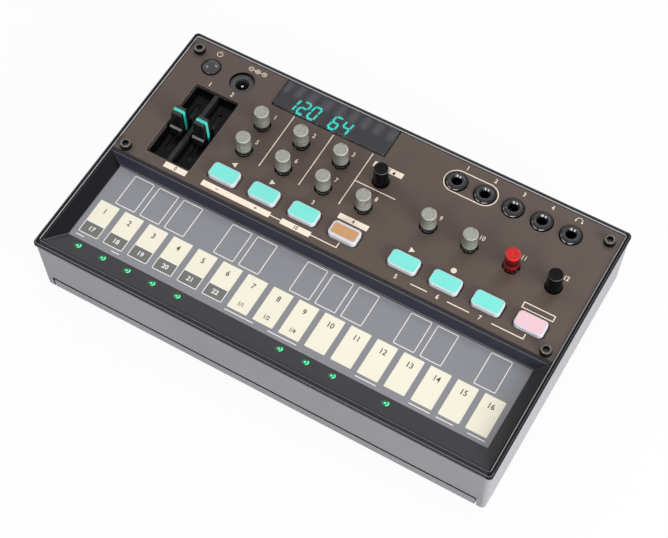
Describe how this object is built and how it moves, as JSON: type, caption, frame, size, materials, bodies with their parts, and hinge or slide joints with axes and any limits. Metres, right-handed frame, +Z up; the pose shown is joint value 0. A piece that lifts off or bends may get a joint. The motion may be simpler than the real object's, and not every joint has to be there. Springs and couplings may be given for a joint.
{
  "type": "fm synthesizer",
  "caption": "Flat tabletop FM synthesizer with a sunk touch keyboard, stem knobs, sliders, buttons, a small display and sockets on a printed panel.",
  "frame": {"origin": "middle of the footprint, on the surface the rubber feet stand on", "axes": "+X to the player's right, +Y away from the player towards the sockets, +Z up"},
  "size_m": [0.193, 0.115, 0.0416],
  "materials": {
    "rim_plastic": "satin",
    "panel_paint": "satin paint",
    "case_plastic": "fine grain",
    "key_film": "satin film",
    "board_laminate": "solder mask",
    "green_lamp": "clear",
    "black_resin": "matte",
    "capacitor_can": "satin",
    "dark_lens": "polished",
    "pot_metal": "plated",
    "black_gloss": "polished",
    "dark_plastic": "satin",
    "cell_jacket": "printed film",
    "spring_metal": "nickel plated",
    "lead_skin": "soft",
    "speaker_metal": "plated",
    "cone_paper": "pressed paper",
    "ribbon_film": "film",
    "foot_rubber": "matte",
    "screw_steel": "polished",
    "smoke_plastic": "smoky, see-through",
    "red_plastic": "polished",
    "cyan_button": "printed top",
    "tan_button": "printed top",
    "pink_button": "printed top"
  },
  "bodies": {
    "case": {"upper_case": "rim_plastic", "front_panel": "panel_paint", "lower_case": "case_plastic", "key_sheet": "key_film", "touch_board": "board_laminate", "key_leds": "green_lamp", "main_board": "board_laminate", "integrated_circuits": "black_resin", "capacitors": "capacitor_can", "display_window": "dark_lens", "display_module": "black_resin", "potentiometers": "pot_metal", "tact_switches": "black_resin", "fader_tray": "dark_plastic", "fader_bodies": "pot_metal", "dc_jack": "black_resin", "battery_cells": "cell_jacket", "battery_contacts": "spring_metal", "battery_lead": "lead_skin", "speaker": "speaker_metal", "speaker_cone": "cone_paper", "speaker_lead": "lead_skin", "keyboard_ribbon": "ribbon_film", "rubber_feet": "foot_rubber", "panel_screws": "screw_steel", "case_screws": "screw_steel", "audio_jack_1": "black_gloss", "audio_jack_2": "black_gloss", "audio_jack_3": "black_gloss", "audio_jack_4": "black_gloss", "audio_jack_5": "black_gloss"},
    "knob_1": {"knob_1": "smoke_plastic"},
    "knob_2": {"knob_2": "smoke_plastic"},
    "knob_3": {"knob_3": "smoke_plastic"},
    "knob_4": {"knob_4": "black_gloss"},
    "knob_5": {"knob_5": "smoke_plastic"},
    "knob_6": {"knob_6": "smoke_plastic"},
    "knob_7": {"knob_7": "smoke_plastic"},
    "knob_8": {"knob_8": "smoke_plastic"},
    "knob_9": {"knob_9": "smoke_plastic"},
    "knob_10": {"knob_10": "smoke_plastic"},
    "knob_11": {"knob_11": "red_plastic"},
    "knob_12": {"knob_12": "black_gloss"},
    "button_1": {"button_1": "cyan_button"},
    "button_2": {"button_2": "cyan_button"},
    "button_3": {"button_3": "cyan_button"},
    "button_4": {"button_4": "tan_button"},
    "button_5": {"button_5": "cyan_button"},
    "button_6": {"button_6": "cyan_button"},
    "button_7": {"button_7": "cyan_button"},
    "button_8": {"button_8": "pink_button"},
    "power_button": {"power_button": "black_gloss"},
    "fader_lever_1": {"fader_lever_1": "dark_plastic"},
    "fader_lever_2": {"fader_lever_2": "dark_plastic"},
    "battery_cover": {"battery_cover": "case_plastic"}
  },
  "joints": [
    {"name": "knob_1_turn", "type": "hinge", "parent": "case", "child": "knob_1", "pos_m": [-0.04975, 0.03145, 0.0326], "axis": [0, 0, 1], "range_deg": [-150, 150]},
    {"name": "knob_2_turn", "type": "hinge", "parent": "case", "child": "knob_2", "pos_m": [-0.03215, 0.03145, 0.0326], "axis": [0, 0, 1], "range_deg": [-150, 150]},
    {"name": "knob_3_turn", "type": "hinge", "parent": "case", "child": "knob_3", "pos_m": [-0.01455, 0.03145, 0.0326], "axis": [0, 0, 1], "range_deg": [-150, 150]},
    {"name": "knob_4_turn", "type": "hinge", "parent": "case", "child": "knob_4", "pos_m": [0.00305, 0.03145, 0.0326], "axis": [0, 0, 1], "range_deg": [-150, 150]},
    {"name": "knob_5_turn", "type": "hinge", "parent": "case", "child": "knob_5", "pos_m": [-0.04975, 0.0179, 0.0326], "axis": [0, 0, 1], "range_deg": [-150, 150]},
    {"name": "knob_6_turn", "type": "hinge", "parent": "case", "child": "knob_6", "pos_m": [-0.03215, 0.0179, 0.0326], "axis": [0, 0, 1], "range_deg": [-150, 150]},
    {"name": "knob_7_turn", "type": "hinge", "parent": "case", "child": "knob_7", "pos_m": [-0.01455, 0.0179, 0.0326], "axis": [0, 0, 1], "range_deg": [-150, 150]},
    {"name": "knob_8_turn", "type": "hinge", "parent": "case", "child": "knob_8", "pos_m": [0.00305, 0.0179, 0.0326], "axis": [0, 0, 1], "range_deg": [-150, 150]},
    {"name": "knob_9_turn", "type": "hinge", "parent": "case", "child": "knob_9", "pos_m": [0.02835, 0.0226, 0.0326], "axis": [0, 0, 1], "range_deg": [-150, 150]},
    {"name": "knob_10_turn", "type": "hinge", "parent": "case", "child": "knob_10", "pos_m": [0.0458, 0.0226, 0.0326], "axis": [0, 0, 1], "range_deg": [-150, 150]},
    {"name": "knob_11_turn", "type": "hinge", "parent": "case", "child": "knob_11", "pos_m": [0.06325, 0.0226, 0.0326], "axis": [0, 0, 1], "range_deg": [-150, 150]},
    {"name": "knob_12_turn", "type": "hinge", "parent": "case", "child": "knob_12", "pos_m": [0.0807, 0.0226, 0.0326], "axis": [0, 0, 1], "range_deg": [-150, 150]},
    {"name": "button_1_press", "type": "slide", "parent": "case", "child": "button_1", "axis": [0, 0, -1], "range_m": [0, 0.00035], "stiffness_N_per_m": 1500},
    {"name": "button_2_press", "type": "slide", "parent": "case", "child": "button_2", "axis": [0, 0, -1], "range_m": [0, 0.00035], "stiffness_N_per_m": 1500},
    {"name": "button_3_press", "type": "slide", "parent": "case", "child": "button_3", "axis": [0, 0, -1], "range_m": [0, 0.00035], "stiffness_N_per_m": 1500},
    {"name": "button_4_press", "type": "slide", "parent": "case", "child": "button_4", "axis": [0, 0, -1], "range_m": [0, 0.00035], "stiffness_N_per_m": 1500},
    {"name": "button_5_press", "type": "slide", "parent": "case", "child": "button_5", "axis": [0, 0, -1], "range_m": [0, 0.00035], "stiffness_N_per_m": 1500},
    {"name": "button_6_press", "type": "slide", "parent": "case", "child": "button_6", "axis": [0, 0, -1], "range_m": [0, 0.00035], "stiffness_N_per_m": 1500},
    {"name": "button_7_press", "type": "slide", "parent": "case", "child": "button_7", "axis": [0, 0, -1], "range_m": [0, 0.00035], "stiffness_N_per_m": 1500},
    {"name": "button_8_press", "type": "slide", "parent": "case", "child": "button_8", "axis": [0, 0, -1], "range_m": [0, 0.00035], "stiffness_N_per_m": 1500},
    {"name": "power_press", "type": "slide", "parent": "case", "child": "power_button", "axis": [0, 0, -1], "range_m": [0, 0.00035], "stiffness_N_per_m": 1500},
    {"name": "fader_1_slide", "type": "slide", "parent": "case", "child": "fader_lever_1", "axis": [0, 1, 0], "range_m": [-0.009, 0.011]},
    {"name": "fader_2_slide", "type": "slide", "parent": "case", "child": "fader_lever_2", "axis": [0, 1, 0], "range_m": [-0.009, 0.011]},
    {"name": "battery_cover_slide", "type": "slide", "parent": "case", "child": "battery_cover", "axis": [0, -1, 0], "range_m": [0, 0.03]}
  ]
}
